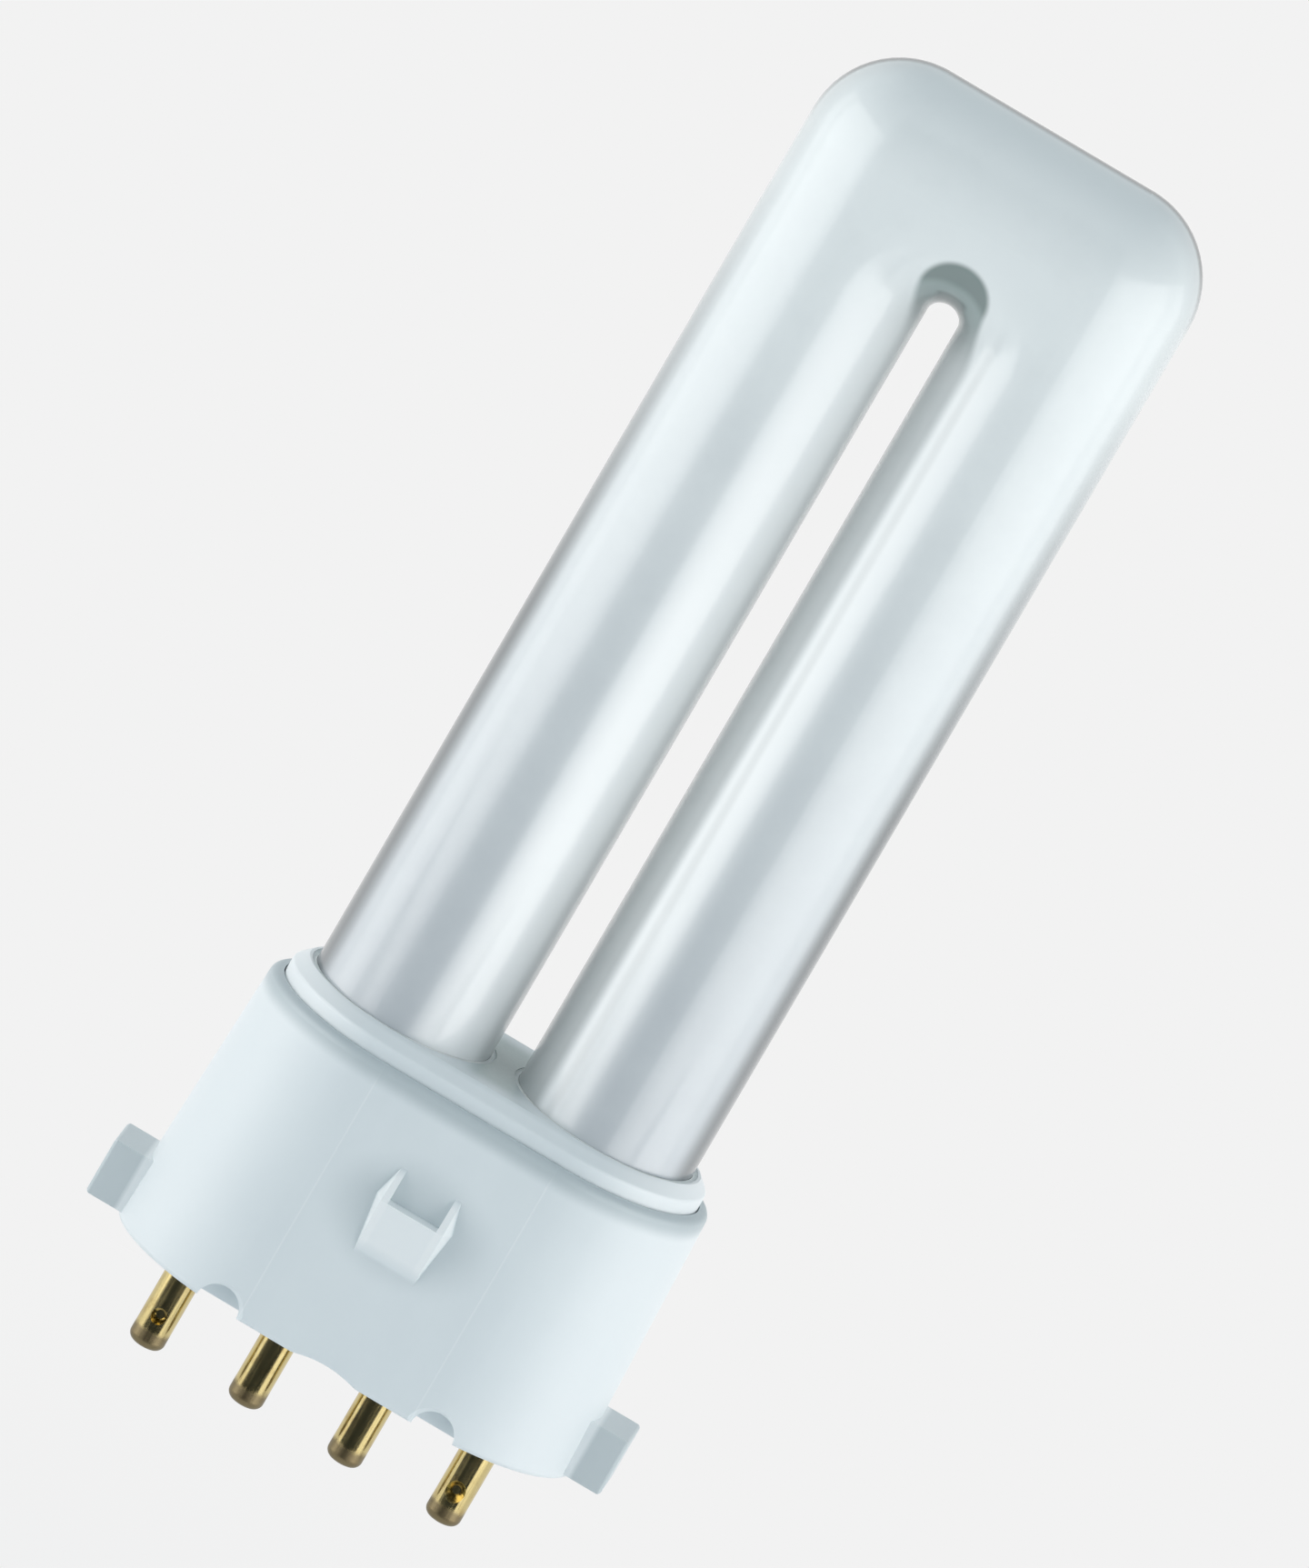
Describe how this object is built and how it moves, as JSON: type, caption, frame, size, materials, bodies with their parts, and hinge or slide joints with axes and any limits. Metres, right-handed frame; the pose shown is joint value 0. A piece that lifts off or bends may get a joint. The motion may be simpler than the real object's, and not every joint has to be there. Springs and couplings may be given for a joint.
{
  "type": "compact fluorescent lamp",
  "caption": "Plug-in compact fluorescent lamp: two straight glass tubes joined at the tip by a square bridge, on a white oval cap with contact pins in a line.",
  "frame": {"origin": "middle of the cap's bottom face, the face that seats in the lampholder", "axes": "+Z along the tubes to the tip, +X along the row of pins, -Y the front broad side that the picture shows"},
  "size_m": [0.0364, 0.0202, 0.0942],
  "materials": {
    "cap_plastic": "white moulded plastic, satin",
    "coated_glass": "clear glass with a white fluorescent coating on the inside",
    "cement": "grey-white lamp cement",
    "pin_brass": "polished, gold coloured",
    "lead_nickel": "drawn nickel wire"
  },
  "bodies": {
    "root": {"base_housing": "cap_plastic", "tube_holder": "cap_plastic", "glass_tube": "coated_glass", "cement_ring_left": "cement", "cement_ring_right": "cement", "contact_pin_1": "pin_brass", "contact_pin_2": "pin_brass", "contact_pin_3": "pin_brass", "contact_pin_4": "pin_brass", "lead_wire_1": "lead_nickel", "lead_wire_2": "lead_nickel", "lead_wire_3": "lead_nickel", "lead_wire_4": "lead_nickel"}
  },
  "joints": []
}
